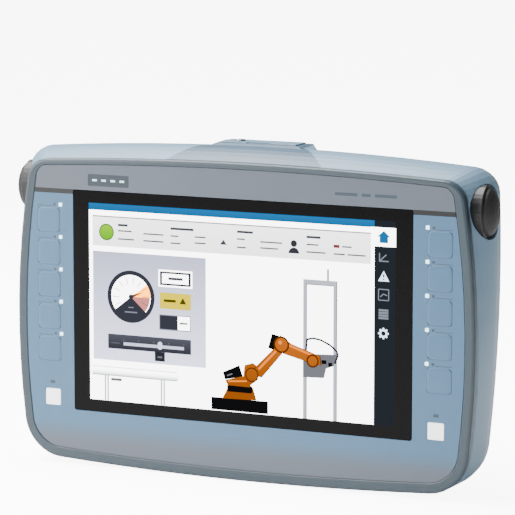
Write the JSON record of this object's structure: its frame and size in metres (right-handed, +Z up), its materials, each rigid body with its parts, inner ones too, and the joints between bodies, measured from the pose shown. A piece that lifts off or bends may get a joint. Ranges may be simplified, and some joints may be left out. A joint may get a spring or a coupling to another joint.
{
  "type": "handheld touch panel",
  "caption": "Handheld industrial operator panel: wide touch display, side membrane keys with lamps, oval enabling buttons and a flared rear housing.",
  "frame": {"origin": "middle of the bounding box at the lowest line of the front rim, where the panel stands", "axes": "+X to the right of the display seen from the front, +Y from the display towards the rear cover, +Z up"},
  "size_m": [0.3044, 0.068, 0.1955],
  "materials": {
    "bezel_paint": "fine satin",
    "housing_paint": "fine satin",
    "foil_print": "printed satin film",
    "key_membrane": "printed satin film",
    "surround_glass": "black printed glass",
    "label_lens": "clear window",
    "label_card": "plain white",
    "lamp_guide": "frosted clear",
    "black_rubber": "matt",
    "dark_plastic": "matt",
    "switch_plastic": "matt",
    "sheet_steel": "brushed",
    "screw_steel": "turned",
    "circuit_board": "solder resist",
    "terminal_plastic": "satin",
    "flat_cable": "satin",
    "rating_card": "satin label"
  },
  "bodies": {
    "panel": {"blanking_cap": "housing_paint", "cable_gland_body": "dark_plastic", "cable_gland_insert": "black_rubber", "cable_gland_locknut": "dark_plastic", "cable_gland_nut": "dark_plastic", "cap_screw": "screw_steel", "connection_board": "circuit_board", "connection_cover": "housing_paint", "cover_screw_1": "screw_steel", "cover_screw_2": "screw_steel", "cover_screw_3": "screw_steel", "cover_screw_4": "screw_steel", "cover_seal": "black_rubber", "display_bracket": "sheet_steel", "display_module": "dark_plastic", "enabling_collar_left": "dark_plastic", "enabling_collar_right": "dark_plastic", "enabling_switch_left": "switch_plastic", "enabling_switch_right": "switch_plastic", "flat_cable": "flat_cable", "front_bezel": "bezel_paint", "front_foil": "foil_print", "housing_screw_1": "screw_steel", "housing_screw_2": "screw_steel", "housing_screw_3": "screw_steel", "housing_screw_4": "screw_steel", "housing_screw_5": "screw_steel", "housing_screw_6": "screw_steel", "housing_seal": "black_rubber", "key_board_left": "circuit_board", "key_board_right": "circuit_board", "label_strip_left": "label_card", "label_strip_right": "label_card", "label_window_left": "label_lens", "label_window_right": "label_lens", "lamp_guide_left": "lamp_guide", "lamp_guide_right": "lamp_guide", "main_board": "circuit_board", "rating_plate": "rating_card", "rear_housing": "housing_paint", "service_socket": "sheet_steel", "shield_plate": "sheet_steel", "terminal_block": "terminal_plastic", "touch_glass": "surround_glass"},
    "key_left_1": {"key_left_1": "key_membrane"},
    "key_left_2": {"key_left_2": "key_membrane"},
    "key_left_3": {"key_left_3": "key_membrane"},
    "key_left_4": {"key_left_4": "key_membrane"},
    "key_left_5": {"key_left_5": "key_membrane"},
    "key_right_1": {"key_right_1": "key_membrane"},
    "key_right_2": {"key_right_2": "key_membrane"},
    "key_right_3": {"key_right_3": "key_membrane"},
    "key_right_4": {"key_right_4": "key_membrane"},
    "key_right_5": {"key_right_5": "key_membrane"},
    "enabling_button_left": {"enabling_button_left": "black_rubber"},
    "enabling_button_right": {"enabling_button_right": "black_rubber"},
    "port_cover": {"port_cover": "black_rubber"}
  },
  "joints": [
    {"name": "key_left_1_press", "type": "slide", "parent": "panel", "child": "key_left_1", "axis": [0, 1, 0], "range_m": [0, 0.0004], "stiffness_N_per_m": 3000},
    {"name": "key_left_2_press", "type": "slide", "parent": "panel", "child": "key_left_2", "axis": [0, 1, 0], "range_m": [0, 0.0004], "stiffness_N_per_m": 3000},
    {"name": "key_left_3_press", "type": "slide", "parent": "panel", "child": "key_left_3", "axis": [0, 1, 0], "range_m": [0, 0.0004], "stiffness_N_per_m": 3000},
    {"name": "key_left_4_press", "type": "slide", "parent": "panel", "child": "key_left_4", "axis": [0, 1, 0], "range_m": [0, 0.0004], "stiffness_N_per_m": 3000},
    {"name": "key_left_5_press", "type": "slide", "parent": "panel", "child": "key_left_5", "axis": [0, 1, 0], "range_m": [0, 0.0004], "stiffness_N_per_m": 3000},
    {"name": "key_right_1_press", "type": "slide", "parent": "panel", "child": "key_right_1", "axis": [0, 1, 0], "range_m": [0, 0.0004], "stiffness_N_per_m": 3000},
    {"name": "key_right_2_press", "type": "slide", "parent": "panel", "child": "key_right_2", "axis": [0, 1, 0], "range_m": [0, 0.0004], "stiffness_N_per_m": 3000},
    {"name": "key_right_3_press", "type": "slide", "parent": "panel", "child": "key_right_3", "axis": [0, 1, 0], "range_m": [0, 0.0004], "stiffness_N_per_m": 3000},
    {"name": "key_right_4_press", "type": "slide", "parent": "panel", "child": "key_right_4", "axis": [0, 1, 0], "range_m": [0, 0.0004], "stiffness_N_per_m": 3000},
    {"name": "key_right_5_press", "type": "slide", "parent": "panel", "child": "key_right_5", "axis": [0, 1, 0], "range_m": [0, 0.0004], "stiffness_N_per_m": 3000},
    {"name": "enabling_button_left_press", "type": "slide", "parent": "panel", "child": "enabling_button_left", "axis": [1, 0, 0], "range_m": [0, 0.0045], "stiffness_N_per_m": 1500},
    {"name": "enabling_button_right_press", "type": "slide", "parent": "panel", "child": "enabling_button_right", "axis": [-1, 0, 0], "range_m": [0, 0.0045], "stiffness_N_per_m": 1500},
    {"name": "port_cover_hinge", "type": "hinge", "parent": "panel", "child": "port_cover", "pos_m": [0.066, 0.034, 0.0654], "axis": [-1, 0, 0], "range_deg": [0, 100]}
  ]
}
